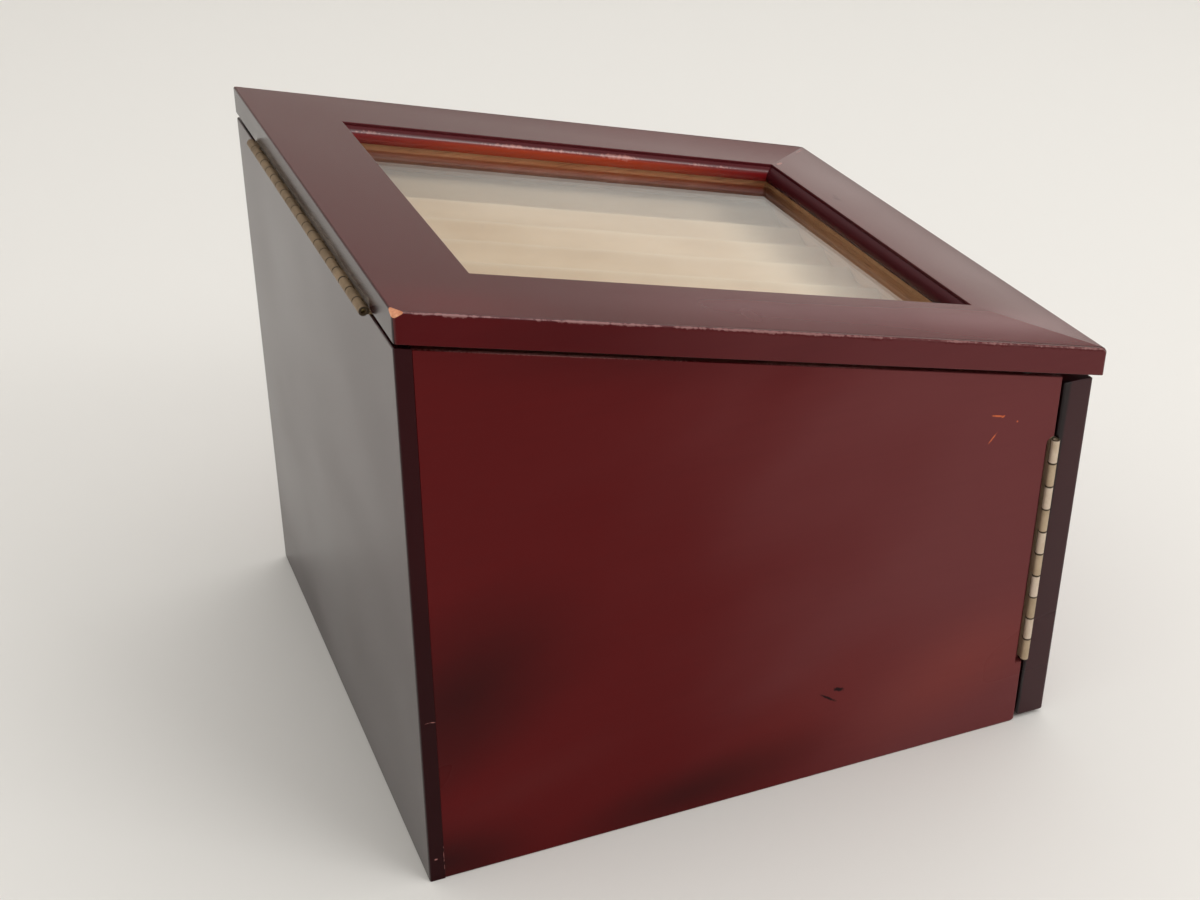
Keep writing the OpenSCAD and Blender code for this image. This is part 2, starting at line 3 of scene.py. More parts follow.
import bmesh
import bpy
import numpy as np
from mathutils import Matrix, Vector


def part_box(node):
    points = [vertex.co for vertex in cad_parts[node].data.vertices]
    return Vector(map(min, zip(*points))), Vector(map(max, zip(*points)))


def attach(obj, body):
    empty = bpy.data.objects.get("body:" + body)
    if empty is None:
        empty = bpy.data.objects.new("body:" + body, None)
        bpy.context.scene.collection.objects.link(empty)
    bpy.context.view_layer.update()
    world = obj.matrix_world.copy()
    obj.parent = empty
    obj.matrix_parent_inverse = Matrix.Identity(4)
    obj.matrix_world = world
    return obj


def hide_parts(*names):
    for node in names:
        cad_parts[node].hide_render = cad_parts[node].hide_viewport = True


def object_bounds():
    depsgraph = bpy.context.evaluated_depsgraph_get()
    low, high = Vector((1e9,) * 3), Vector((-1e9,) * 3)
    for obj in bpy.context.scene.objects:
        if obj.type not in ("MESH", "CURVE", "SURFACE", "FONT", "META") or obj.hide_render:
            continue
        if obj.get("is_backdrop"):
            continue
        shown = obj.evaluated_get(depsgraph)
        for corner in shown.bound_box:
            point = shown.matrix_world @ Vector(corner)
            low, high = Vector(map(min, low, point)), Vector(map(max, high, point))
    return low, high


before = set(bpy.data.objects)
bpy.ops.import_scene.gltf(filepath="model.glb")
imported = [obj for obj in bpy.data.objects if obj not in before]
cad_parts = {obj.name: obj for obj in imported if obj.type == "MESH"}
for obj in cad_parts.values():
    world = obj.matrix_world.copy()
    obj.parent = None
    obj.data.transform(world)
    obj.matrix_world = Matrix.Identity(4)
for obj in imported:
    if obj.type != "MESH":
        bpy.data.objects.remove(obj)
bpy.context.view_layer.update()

# Camera. The case is seen from behind and from its left, from 0.6 m away and 0.37 m above
# the floor. The place and the turn were solved from its straight edges in the photograph.
shot = bpy.data.cameras.new("camera")
shot.sensor_width = 36
shot.lens = 51.15
camera = bpy.data.objects.new("camera", shot)
camera.location = (-0.48026, 0.20054, 0.37142)
camera.rotation_euler = (1.057267, 0.003246, -1.952167)
bpy.context.scene.collection.objects.link(camera)
bpy.context.scene.camera = camera
bpy.context.scene.view_settings.view_transform = "Standard"

# Stage. A pale round sweep of matt paper: a flat floor, a wide cove and a wall behind
# every side of the case, open at the top. It fills the reflections in the lacquer.
floor_r, cove_r, wall_low, wall_high = 1.4, 0.7, 1.1, 1.5
cove_steps, sweep_steps = 24, 96


def linear(code):
    """The linear RGBA values of a colour written as sRGB hex."""
    parts = [int(code[i:i + 2], 16) / 255 for i in (1, 3, 5)]
    return tuple(c / 12.92 if c <= 0.04045 else ((c + 0.055) / 1.055) ** 2.4 for c in parts) + (1.0,)


def add(tree, kind, inputs=None, **settings):
    """Adds a shader node of a kind, sets its properties, and gives each named or numbered
    input a plain value or a link from a socket."""
    made = tree.nodes.new("ShaderNode" + kind)
    for key, value in settings.items():
        setattr(made, key, value)
    for key, value in (inputs or {}).items():
        if isinstance(value, bpy.types.NodeSocket):
            tree.links.new(value, made.inputs[key])
        else:
            made.inputs[key].default_value = value
    return made


def axes(tree, place):
    """The X, Y and Z of coordinates, a socket each."""
    return add(tree, "SeparateXYZ", {0: place}).outputs


def ramp(tree, value, start, end, low=0.0, high=1.0, shape="LINEAR"):
    """Goes from low to high while the value goes from start to end, and stays there."""
    return add(tree, "MapRange", {"Value": value, "From Min": start, "From Max": end, "To Min": low,
                                  "To Max": high}, interpolation_type=shape).outputs[0]


def eased(tree, value, start, end, low=0.0, high=1.0):
    """A ramp with a soft beginning and a soft end."""
    return ramp(tree, value, start, end, low, high, "SMOOTHSTEP")


def tinted(tree, share, under, over):
    """A colour that goes from under to over with the share. Both are sockets or sRGB hex."""
    under, over = (linear(c) if isinstance(c, str) else c for c in (under, over))
    return add(tree, "Mix", {0: share, 6: under, 7: over}, data_type="RGBA").outputs[2]


def new_finish(name, values):
    """A material with these values on its shader's own sockets. Returns the material, its
    node tree, its shader and its object coordinates, which are metres in the row frame."""
    finish = bpy.data.materials.new(name)
    finish.use_nodes = True
    tree = finish.node_tree
    shader = tree.nodes["Principled BSDF"]
    for key, value in values.items():
        shader.inputs[key].default_value = value
    return finish, tree, shader, add(tree, "TexCoord").outputs["Object"]


def surface(name, grid, ring=False, caps=False, crease=35):
    """An object whose mesh joins a grid of points, rows x columns x 3, with quads. ring
    joins each row's last point to its first, and caps closes the first and last rows.
    Edges sharper than the crease, in degrees, stay sharp."""
    rows, columns = grid.shape[:2]
    index = np.arange(rows * columns).reshape(rows, columns)
    if ring:
        index = np.hstack([index, index[:, :1]])
    quads = np.stack([index[:-1, :-1], index[:-1, 1:], index[1:, 1:], index[1:, :-1]], axis=-1)
    mesh = bpy.data.meshes.new(name)
    mesh.from_pydata(grid.reshape(-1, 3).tolist(), [], quads.reshape(-1, 4).tolist())
    shape = bmesh.new()
    shape.from_mesh(mesh)
    bmesh.ops.remove_doubles(shape, verts=shape.verts, dist=1e-7)
    if caps:
        bmesh.ops.holes_fill(shape, edges=shape.edges, sides=0)
    bmesh.ops.recalc_face_normals(shape, faces=shape.faces)
    shape.to_mesh(mesh)
    shape.free()
    mesh.shade_smooth()
    mesh.set_sharp_from_angle(angle=math.radians(crease))
    made = bpy.data.objects.new(name, mesh)
    bpy.context.scene.collection.objects.link(made)
    return made


def turned(name, outline, steps):
    """A surface of revolution about Z: an outline of (radius, height) points carried round
    a circle in equal steps, radius * (cos a, sin a)."""
    angle = np.linspace(0, 2 * math.pi, steps, endpoint=False)[None, :]
    radius, height = (np.array(outline).T[i][:, None] for i in (0, 1))
    grid = np.stack([radius * np.cos(angle), radius * np.sin(angle), height + 0 * angle], axis=-1)
    return surface(name, grid, ring=True)


level_floor = [(0, 0), (0.4, 0), (0.9, 0)]
cove = [(floor_r + cove_r * math.sin(a), cove_r - cove_r * math.cos(a))
        for a in np.linspace(0, math.pi / 2, cove_steps)]
wall = [(floor_r + cove_r, height) for height in (wall_low, wall_high)]
sweep = turned("sweep", level_floor + cove + wall, sweep_steps)
# Matt background paper: pale grey without gloss, shaded darker up the wall, so that the
# lacquer reflects a bright floor below a dimmer room.
paper, tree, shader, place = new_finish("matt_background_paper", {
    "Roughness": 0.95, "Specular IOR Level": 0.1})
up = eased(tree, axes(tree, place)[2], 0.5, 0.7)
tree.links.new(tinted(tree, up, "#E6E4E0", "#AEACA9"), shader.inputs["Base Color"])
sweep.data.materials.append(paper)
sweep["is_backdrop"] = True

# Lights. The open top gives soft white light from everywhere. One large soft lamp hangs
# above the front, and a smaller one in front of the near side draws the lines on the edges.
sky = bpy.data.worlds.new("sky")
sky.use_nodes = True
sky.node_tree.nodes["Background"].inputs["Color"].default_value = linear("#F5F3F0")
sky.node_tree.nodes["Background"].inputs["Strength"].default_value = 1.08
bpy.context.scene.world = sky
for name, size, energy, spot, aim in (
        ("softbox_above", (2.2, 1.6), 9.0, (0.0, -0.6, 1.9), (0, 0, 0.1)),
        ("softbox_near", (0.9, 0.5), 8.0, (-1.25, -0.9, 1.25), (0, 0, 0.12))):
    lamp = bpy.data.lights.new(name, "AREA")
    lamp.shape = "RECTANGLE"
    lamp.size, lamp.size_y = size
    lamp.energy = energy
    holder = bpy.data.objects.new(name, lamp)
    holder.location = spot
    holder.rotation_euler = (Vector(aim) - Vector(spot)).to_track_quat("-Z", "Y").to_euler()
    bpy.context.scene.collection.objects.link(holder)

# Case sides. Two veneered boards sprayed with a cherry-red toner under clear semi-gloss lacquer. Both turn
# mauve towards the door, a painted reflection of the bright floor; the left one is also darker towards the
# back and the foot, part toner and part painted shade. The left one is scratched and dented, and has a notch
# for the barrel of the door's hinge.
side_low, side_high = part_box("side_panel_right")
half_w, front_y, joint_y = side_high.x, side_low.y, side_high.y
foot_round, joint_round = 0.0017, 0.00012
notch_y, notch_top = -0.102, (0.1075, 0.1125)
# A point this near to a face, in metres, counts as on it.
near = 1e-4
# The passes of the spray gun slant down towards the back, by so many degrees.
gun_slant = -27


def board_copy(node, name, ease, widest, cuts=(), steps=3):
    """A copy of a CAD node's mesh with its loose triangles merged and its flat faces joined.
    Each cut is a plane (point, normal, material) that takes off what lies beyond it. Each
    convex edge is rounded to ease(middle, direction, normals), a radius in metres and at
    most the widest, but the edges of faces in the second material, bare wood, stay sharp."""
    fold = math.radians(28)
    shape = bmesh.new()
    shape.from_mesh(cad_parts[node].data)
    bmesh.ops.remove_doubles(shape, verts=shape.verts, dist=1e-6)
    bmesh.ops.dissolve_limit(shape, angle_limit=math.radians(0.5), verts=shape.verts, edges=shape.edges)
    for face in shape.faces:
        face.material_index = 0
    for point, normal, material in cuts:
        parts = shape.verts[:] + shape.edges[:] + shape.faces[:]
        cut = bmesh.ops.bisect_plane(shape, geom=parts, plane_co=point, plane_no=normal, clear_outer=True)
        rim = [g for g in cut["geom_cut"] if isinstance(g, bmesh.types.BMEdge)]
        for face in bmesh.ops.contextual_create(shape, geom=rim)["faces"]:
            face.material_index = material
    bmesh.ops.recalc_face_normals(shape, faces=shape.faces)
    weight = shape.edges.layers.float.new("bevel_weight_edge")
    for edge in shape.edges:
        if len(edge.link_faces) != 2 or any(f.material_index for f in edge.link_faces):
            edge.smooth = False
            continue
        angle = edge.calc_face_angle_signed()
        edge.smooth = abs(angle) < fold
        if angle > fold:
            a, b = (v.co for v in edge.verts)
            radius = ease((a + b) / 2, b - a, [f.normal for f in edge.link_faces])
            edge[weight] = radius / widest
            edge.smooth = edge.smooth or radius > 0
    mesh = bpy.data.meshes.new(name)
    shape.to_mesh(mesh)
    shape.free()
    if "custom_normal" in mesh.attributes:
        mesh.attributes.remove(mesh.attributes["custom_normal"])
    mesh.shade_smooth()
    made = bpy.data.objects.new(name, mesh)
    bpy.context.scene.collection.objects.link(made)
    bevel = made.modifiers.new("eased_edges", "BEVEL")
    bevel.limit_method = "WEIGHT"
    bevel.width = widest
    bevel.segments = steps
    bevel.use_clamp_overlap = False
    bevel.harden_normals = True
    return made


def maths(tree, operation, *values):
    """What a maths node makes of up to three sockets or numbers."""
    return add(tree, "Math", dict(enumerate(values)), operation=operation).outputs[0]


def product(tree, first, *others):
    """Sockets or numbers multiplied by each other."""
    for other in others:
        first = maths(tree, "MULTIPLY", first, other)
    return first


def noise(tree, place, size, detail=2.0, roughness=0.5):
    """Soft noise between 0 and 1, whose patches have a size in metres."""
    return add(tree, "TexNoise", {"Vector": place, "Scale": 1 / size, "Detail": detail,
                                  "Roughness": roughness}).outputs["Fac"]


def streaks(tree, place, sizes, detail):
    """Noise whose patches have a size of their own, in metres, along each axis."""
    scaled = add(tree, "Mapping", {"Vector": place, "Scale": [1 / size for size in sizes]})
    return noise(tree, scaled.outputs[0], 1.0, detail)


def oval_reach(tree, place, middle, turn, half):
    """How far a point lies from the middle of an oval: 1 on its rim, 2 at twice its size.
    The middle and the half sizes are in mm, and the turn is in degrees about each axis."""
    local = add(tree, "Mapping", {"Vector": place, "Location": [m / 1000 for m in middle],
                                  "Rotation": [math.radians(t) for t in turn],
                                  "Scale": [h / 1000 for h in half]}, vector_type="TEXTURE")
    return add(tree, "VectorMath", {0: local.outputs[0]}, operation="LENGTH").outputs["Value"]


def relief(tree, shader, height, strength, depth, **settings):
    """Bumps of a depth in metres where the height goes from 0 to 1."""
    bump = add(tree, "Bump", {"Height": height, "Strength": strength, "Distance": depth}, **settings)
    tree.links.new(bump.outputs[0], shader.inputs["Normal"])


def dim(tree, shader, share):
    """Multiplies the specular level that is linked to a shader by a share."""
    level = shader.inputs["Specular IOR Level"]
    tree.links.new(product(tree, level.links[0].from_socket, share), level)


def lacquer(name, start, end, axis, ends, marks=(), level=0.22, dry=None, roughness=0.3, shades=()):
    """Semi-gloss lacquer over a toner coat: colour start at ends[0] along the axis drifts to colour end at
    ends[1], in slanting passes of the gun 40 mm wide. marks are (colour, ovals) pairs of wear, some with a
    painted highlight, and shades are (colour, strength, middle, turn about X, half size) of soft ovals of
    toner and of painted reflection and shade. dry is (axis, distance, level): beyond that distance on that
    axis the coat is flatter, and the marks are duller still. Returns the material, its tree, its shader, its
    coordinates and the colour so far."""
    finish, tree, shader, place = new_finish(name, {"Specular IOR Level": level})
    passes = add(tree, "Mapping", {"Vector": place, "Rotation": (math.radians(gun_slant), 0, 0),
                                   "Scale": (0.06, 0.09, 0.04)}, vector_type="TEXTURE")
    cloud = noise(tree, passes.outputs[0], 1.0, 2.0, 0.4)
    parts = axes(tree, place)
    drift = eased(tree, parts[axis], ends[0], ends[1], -0.4, 0.6)
    drift = maths(tree, "MULTIPLY_ADD", cloud, 0.8, drift)
    colour = tinted(tree, ramp(tree, drift, 0.0, 1.0, shape="SMOOTHERSTEP"), start, end)
    for code, strength, middle, turn, half in shades:
        reach = oval_reach(tree, place, middle, (turn, 0, 0), half)
        reach = maths(tree, "MULTIPLY_ADD", cloud, 1.2, reach)
        colour = tinted(tree, eased(tree, reach, 0.4, 2.0, strength, 0.0), colour, code)
    # Fibres of the veneer, 2 mm wide and drawn out to 30 mm, barely show through the toner.
    fibre = streaks(tree, place, (0.002, 0.03, 0.002), 3.0)
    colour = tinted(tree, eased(tree, fibre, 0.4, 0.8, 0.0, 0.04), colour, "#22070A")
    grit = noise(tree, place, 0.0007)
    dull = None
    for code, ovals in marks:
        for middle, turn, half in ovals:
            reach = oval_reach(tree, place, middle, turn, half)
            reach = maths(tree, "MULTIPLY_ADD", grit, 0.9, reach)
            wear_and_sheen = ramp(tree, reach, 1.0, 1.5, 1.0, 0.0)
            colour = tinted(tree, wear_and_sheen, colour, code)
            dull = maths(tree, "MAXIMUM", dull, wear_and_sheen) if dull else wear_and_sheen
    tree.links.new(colour, shader.inputs["Base Color"])
    gloss = ramp(tree, cloud, 0.0, 1.0, roughness - 0.07, roughness + 0.07)
    tree.links.new(gloss, shader.inputs["Roughness"])
    if dry:
        dry_axis, distance, dry_level = dry
        reach = maths(tree, "ABSOLUTE", parts[dry_axis])
        flat = ramp(tree, reach, distance - 0.0003, distance, level, dry_level)
        tree.links.new(flat, shader.inputs["Specular IOR Level"])
        if dull:
            dim(tree, shader, ramp(tree, dull, 0.0, 1.0, 1.0, 0.35))
    # The sprayed coat has an orange-peel skin of about 2 mm.
    relief(tree, shader, noise(tree, place, 0.002, 1.0), 0.2, 0.00003)
    return finish, tree, shader, place, colour


def place_piece(piece, node, body, slot, *finishes):
    """Gives a piece its finishes, and lets it ride on a body in place of a CAD node."""
    for finish in finishes:
        piece.data.materials.append(finish)
    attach(piece, body)
    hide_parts(node)


def ease_side(middle, run, normals):
    """The outer face's edges: foot 0.8 mm, front 0.5, top 0.4, joint with the back 0.12, and
    1.7 at the front foot. Edges under 2 mm stay sharp, except at the top of the notch."""
    if abs(abs(middle.x) - half_w) > 1e-5:
        front_foot = middle.y < front_y + near and middle.z < near and abs(run.x) > 0.005
        return foot_round if front_foot else 0.0
    at_notch = middle.y < notch_y and notch_top[0] < middle.z < notch_top[1]
    if run.length < 0.002 and not at_notch:
        return 0.0
    if middle.z < near:
        return 0.0008
    if middle.y < front_y + near:
        return 0.0005
    if middle.y > joint_y - near:
        return joint_round
    return 0.0004


def on_left(y, z, turn, half_y, half_z):
    """An oval mark on the case's left face, in mm, turned by so many degrees."""
    return (-99, y, z), (turn, 0, 0), (1, half_y, half_z)


# Bright scratches above the door's hinge, two dark dents, and a pale line along the top edge under the lid:
# rubbed wear with a painted highlight.
left_wear_and_highlight = [
    ("#C0603C", [on_left(-82.6, 123.9, 14, 2.6, 0.35), on_left(-84.6, 123.3, -20, 0.9, 0.35),
                 on_left(-81.6, 116.2, -52, 2.4, 0.3), on_left(-90.1, 120.5, 0, 0.4, 0.4)]),
    ("#160407", [on_left(-34.0, 33.7, 20, 2.3, 0.9), on_left(-30.5, 31.2, 35, 4.0, 0.5)]),
    ("#9A6664", [on_left(62, 171.6, 13, 48, 0.42), on_left(-20, 152.7, 13, 30, 0.25)]),
]
# Soft ovals of colour, part toner and part painted reflection: dark at the back and the foot, where the face
# reflects shade, and pale mauve towards the door and low at the back, as a reflection of the bright floor.
toner = [
    ("#240304", 0.75, (-99, 92, 66), gun_slant, (20, 46, 26)),
    ("#1C0304", 0.9, (-99, 100, 6), 0, (20, 30, 16)),
    ("#240405", 0.7, (-99, 16, 8), -8, (20, 44, 11)),
    ("#3A060A", 0.4, (-99, 40, 165), 13, (20, 56, 10)),
    ("#6A201C", 0.3, (-99, -30, 32), gun_slant, (20, 44, 20)),
    ("#84382F", 0.35, (-99, -78, 30), gun_slant, (20, 40, 18)),
    ("#5A1C1C", 0.4, (-99, 72, 28), -18, (20, 34, 8)),
]
left_lacquer = lacquer("cherry_lacquer_left_side", "#550B0D", "#663031", 1, (0.08, -0.13), left_wear_and_highlight,
                       level=0.1, shades=toner)[0]
left_side = board_copy("side_panel_left", "left_side", ease_side, foot_round, steps=4)
place_piece(left_side, "side_panel_left", "case", "lacquered_wood", left_lacquer)
right_lacquer = lacquer("cherry_lacquer_right_side", "#550B0D", "#612224", 1, (0.08, -0.13), level=0.15)[0]
right_side = board_copy("side_panel_right", "right_side", ease_side, foot_round, steps=4)
place_piece(right_side, "side_panel_right", "case", "lacquered_wood", right_lacquer)

# Back panel. A board that laps over the ends of the sides, so that its edge shows as a dark
# strip beside them. It is sprayed nearly black, glossy on its face and dull on its edge.
back_y, back_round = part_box("back_panel")[1].y, 0.0006


def ease_back(middle, run, normals):
    """The back panel's outer edges, 0.6 mm; its joints with the sides are only 0.12 mm."""
    if middle.y > back_y - near:
        return back_round
    return joint_round if abs(abs(middle.x) - half_w) < 1e-5 else 0.0


# Its near edge has a row of small chips at the foot, and two scratches higher up.
back_marks = [on_left(102.6, 8.5, 0, 0.5, 0.35), on_left(100.9, 60.5, 12, 1.0, 0.14),
              on_left(102.6, 60.6, -8, 0.9, 0.06)]
back_marks += [on_left(100.0, z, 0, 0.22, half_z)
               for z, half_z in ((4.6, 1.2), (7.4, 0.7), (9.3, 1.6), (12.6, 0.5))]
back_lacquer, tree, shader, place, colour = lacquer(
    "dark_lacquer_back", "#26080B", "#2E0E11", 2, (0.0, 0.18), [("#A8706C", back_marks)], level=0.62,
    dry=(0, half_w, 0.06), roughness=0.24)
# Its gloss is a painted reflection: lowered towards the far end, raised low down, and cut to a third along
# its foot, more so at the far corner, as painted shade.
parts = axes(tree, place)
ragged_shade_edge = noise(tree, place, 0.03, 3.0)
foot = maths(tree, "MULTIPLY_ADD", parts[0], -0.2, parts[2])
foot = maths(tree, "MULTIPLY_ADD", ragged_shade_edge, -0.02, foot)
for value, start, end, low, high in ((parts[0], 0.02, 0.1, 1.0, 0.75), (parts[2], 0.04, 0.13, 1.35, 1.0),
                                     (foot, -0.015, 0.02, 0.3, 1.0)):
    dim(tree, shader, eased(tree, value, start, end, low, high))
back_board = board_copy("back_panel", "back_board", ease_back, back_round)
place_piece(back_board, "back_panel", "case", "lacquered_wood", back_lacquer)


# Inner boards. Base, shelves, the board under the tray and the rails round its well: solid
# mahogany, stained brown and left matt. The thin linings of the well are a paler tan.
def stained(name, light, deep, run):
    """Stained mahogany: pores 0.4 mm wide and 12 mm long along the run axis, over broad
    ribbon figure 9 mm wide and 160 mm long."""
    finish, tree, shader, place = new_finish(name, {"Specular IOR Level": 0.3})
    pores = streaks(tree, place, [0.012 if axis == run else 0.0004 for axis in range(3)], 2.0)
    ribbon = streaks(tree, place, [0.16 if axis == run else 0.009 for axis in range(3)], 4.0)
    colour = tinted(tree, ramp(tree, ribbon, 0.3, 0.7), deep, light)
    colour = tinted(tree, ramp(tree, pores, 0.58, 0.72, 0.0, 0.55), colour, "#2A120B")
    tree.links.new(colour, shader.inputs["Base Color"])
    tree.links.new(ramp(tree, ribbon, 0.0, 1.0, 0.63, 0.47), shader.inputs["Roughness"])
    relief(tree, shader, pores, 0.3, 0.00008, invert=True)
    return finish


def give(node, finish):
    """Puts a finish on a CAD node that stays as it is."""
    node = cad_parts[node]
    node.data.materials.clear()
    node.data.materials.append(finish)


mahogany_across = stained("stained_mahogany_across", "#7A4028", "#54281A", 0)
mahogany_along = stained("stained_mahogany_along", "#7A4028", "#54281A", 1)
lining_across = stained("tan_lining_across", "#DFB792", "#C29872", 0)
lining_along = stained("brown_lining_along", "#CBA27C", "#AE835D", 1)
for node in ("base_board", "drawer_shelf_1", "drawer_shelf_2", "tray_board", "well_rail_front",
             "well_rail_back"):
    give(node, mahogany_across)
for node in ("well_liner_front", "well_liner_back"):
    give(node, lining_across)
for node in ("well_liner_left", "well_liner_right"):
    give(node, lining_along)

# Pen tray. Cream short-pile velvet glued over a board with eight round-bottomed grooves
# that run from front to back; the pile softens every ridge and edge. It lies parallel to the
# lid, 14 mm below its underside.
case_d, case_front_h, case_back_h = 0.21, 0.133, 0.1815
hinge_seam, overhang = 0.0015, 0.0146
# The lid's slope, and the place of its lower front edge.
slope = math.atan((case_back_h - case_front_h) / case_d)
lid_y = -case_d / 2 - overhang
lid_z = case_front_h + hinge_seam / math.cos(slope) - overhang * math.tan(slope)
tray_drop, groove_pitch = 0.014, 0.0204


def grooved_velvet(name, width, front, rear, height):
    """A pad whose top is a row of grooves. Across, a groove of depth 4.5 mm is an arc of
    radius 12.49 mm; the top is the soft minimum of the arcs and zero, less an unevenness of
    0.12 mm made of sines. It drops along a quarter circle at its outer edges. height(y, n)
    gives Z at y for a level n."""
    deep, radius, half_arc, soft, edge, thick = 0.0045, 0.01249, 0.0115, 0.0018, 0.0009, 0.007
    margin, beside, uneven = 0.0012, 0.004, 0.00012
    count = int((width - margin) / groove_pitch)
    x = np.linspace(-width / 2, width / 2, 281)
    y = np.concatenate([front + edge * (1 - np.cos(np.linspace(0, math.pi / 2, 5))),
                        np.linspace(front + edge, rear - edge, 60)[1:-1],
                        rear - edge * (1 - np.cos(np.linspace(math.pi / 2, 0, 5)))])
    groove = np.clip(np.round(x / groove_pitch + (count - 1) / 2), 0, count - 1)
    from_middle = x - (groove - (count - 1) / 2) * groove_pitch
    arc = radius - deep - np.sqrt(np.clip(radius ** 2 - from_middle ** 2, 0, None))
    arc = np.where(np.abs(from_middle) > half_arc, beside, arc)
    top = 0.5 * (arc - np.sqrt(arc ** 2 + soft ** 2))[None, :] + 0 * y[:, None]
    wave = np.sin(y[:, None] * 140 + 9 * np.sin(x[None, :] * 60)) * np.sin(x[None, :] * 210)
    top = top - uneven * (1 + wave)
    gap = np.minimum(np.minimum(x + width / 2, width / 2 - x)[None, :],
                     np.minimum(y - front, rear - y)[:, None])
    top = top - (edge - np.sqrt(np.clip(edge ** 2 - np.clip(edge - gap, 0, edge) ** 2, 0, None)))
    low = np.full((len(y), 1), -thick)
    across = np.concatenate([x, [width / 2, -width / 2]])
    level = np.hstack([top, low, low])
    grid = np.stack([across[None, :] + 0 * level, y[:, None] + 0 * level, height(y[:, None], level)], axis=-1)
    return surface(name, grid, ring=True, caps=True, crease=60)


def on_slope(y, n):
    """Z at Y of the level n, measured square to the lid from its underside."""
    return lid_z + (y - lid_y) * math.tan(slope) + n / math.cos(slope)


# Velvet: dull tan-cream pile that is paler at grazing angles, brushed one way here and there.
velvet, tree, shader, place = new_finish("cream_velvet", {
    "Roughness": 0.9, "Specular IOR Level": 0.2, "Sheen Weight": 0.35, "Sheen Roughness": 0.45,
    "Sheen Tint": linear("#F3E4D0")})
parts = axes(tree, place)
nap = ramp(tree, streaks(tree, place, (0.012, 0.035, 0.02), 3.0), 0.3, 0.7)
colour = tinted(tree, nap, "#CBAC8D", "#D7BA9D")
# The ridges between the grooves are paler: rubbed nap, with a painted highlight along them.
ridge = maths(tree, "PINGPONG", product(tree, parts[0], 1 / groove_pitch), 0.5)
ridge = maths(tree, "MULTIPLY_ADD", nap, -0.6, maths(tree, "DIVIDE", ridge, 0.05))
colour = tinted(tree, ramp(tree, ridge, 1.3, 0.0, 0.0, 0.4), colour, "#DECAB1")
# Ink and dust have left a dark smudge towards the back, and faint grey ones elsewhere.
dirt = noise(tree, place, 0.006, 4.0, 0.7)
for middle, half in (((47, 38, 160), (15, 9, 20)), ((30, 46, 160), (12, 5, 20))):
    reach = oval_reach(tree, place, middle, (0, 0, 28.65), half)
    stain = maths(tree, "MULTIPLY_ADD", reach, -0.35, dirt)
    colour = tinted(tree, ramp(tree, stain, 0.25, 0.55, 0.0, 0.5), colour, "#8E7766")
smudge = noise(tree, place, 0.03, 3.0, 0.6)
colour = tinted(tree, ramp(tree, smudge, 0.6, 0.8, 0.0, 0.22), colour, "#A8957A")
# Painted light: the velvet is paler along the far wall and the front, where the rails shade it.
lit_far_wall = eased(tree, parts[0], 0.045, 0.085, 0.0, 0.4)
lit_front_end = eased(tree, parts[1], -0.045, -0.085, 0.0, 0.4)
colour = tinted(tree, maths(tree, "MAXIMUM", lit_far_wall, lit_front_end), colour, "#F2E2CE")
tree.links.new(colour, shader.inputs["Base Color"])
# The pile is 0.1 mm thick, too fine to show, so its tufts are drawn 0.4 mm wide.
relief(tree, shader, noise(tree, place, 0.0004), 0.5, 0.0002)

low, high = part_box("pen_tray")
tray = grooved_velvet("velvet_tray", high.x - low.x, low.y, high.y, lambda y, n: on_slope(y, n - tray_drop))
place_piece(tray, "pen_tray", "case", "velvet", velvet)

# Lid. Four lacquered rails, mitred at the corners, with a rounded moulding that stands 2 mm into the window
# below its edge. Along the moulding the colour is part wear and part painted light: orange-red below the
# crest and pink specks on it. The front corners are sanded round.
lid_t, lid_half_w, rail_round = 0.009, 0.1002, 0.0009
# The window's half width, and its ends along the slope from the lid's front.
window_x, window_u = 0.069, (0.03328, 0.20139)
top_radius, plumb_radius, corner_radius = 0.0018, 0.0009, 0.0016
# Edges beyond these lie on the lid's outer faces.
outside_x, outside_front, outside_back = 0.0985, -0.1180, 0.1035
# The hinge's barrel along X: its middle, its half length and its knuckles.
hinge_middle, hinge_half, knuckle_count = -0.005, 0.072, 20


def above_underside(point):
    """How far a point lies above the lid's underside, square to it."""
    return (point.z - lid_z) * math.cos(slope) - (point.y - lid_y) * math.sin(slope)


def ease_rail(middle, run, normals):
    """Outer top edges 0.7 mm, outer bottom edges 0.3 and the window's edge 0.4; none at the
    mitres, whose faces stand at 45 degrees to the rails."""
    for normal in normals:
        square = abs(normal.y * math.cos(slope) + normal.z * math.sin(slope))
        if abs(abs(normal.x) - square) < 0.02 and square > 0.5:
            return 0.0
    x, n = middle.x, above_underside(middle)
    if abs(x) > outside_x or middle.y < outside_front or middle.y > outside_back:
        if n > lid_t - near:
            return 0.0007
        return 0.0003 if n < near else 0.0
    if n > lid_t - near and run.length > 0.02 and abs(x) < window_x + near:
        return 0.0004
    return 0.0


# A corner was knocked off the lid at the near back, down to the bare wood.
knock = [np.array(p) for p in ((-0.0966, case_d / 2, 0.19228), (-lid_half_w, 0.1015, 0.19147),
                               (-lid_half_w, case_d / 2, 0.1900))]
knock_normal = np.cross(knock[1] - knock[0], knock[2] - knock[0])
knock_normal = knock_normal * np.sign(knock_normal @ np.array([-1, 1, 1]))


def round_off(corner, faces, radius, weights):
    """Planes that touch a ball set radius deep into a corner of three faces, given by their
    normals. Each plane's normal is the sum of the normals times one set of weights."""
    normals = np.array(faces, float)
    ball = np.array(corner) - np.linalg.inv(normals) @ (radius * np.ones(3))
    planes = []
    for weight in weights:
        toward = np.array(weight, float) @ normals
        toward /= np.linalg.norm(toward)
        planes.append((ball + radius * toward, toward, 0))
    return planes


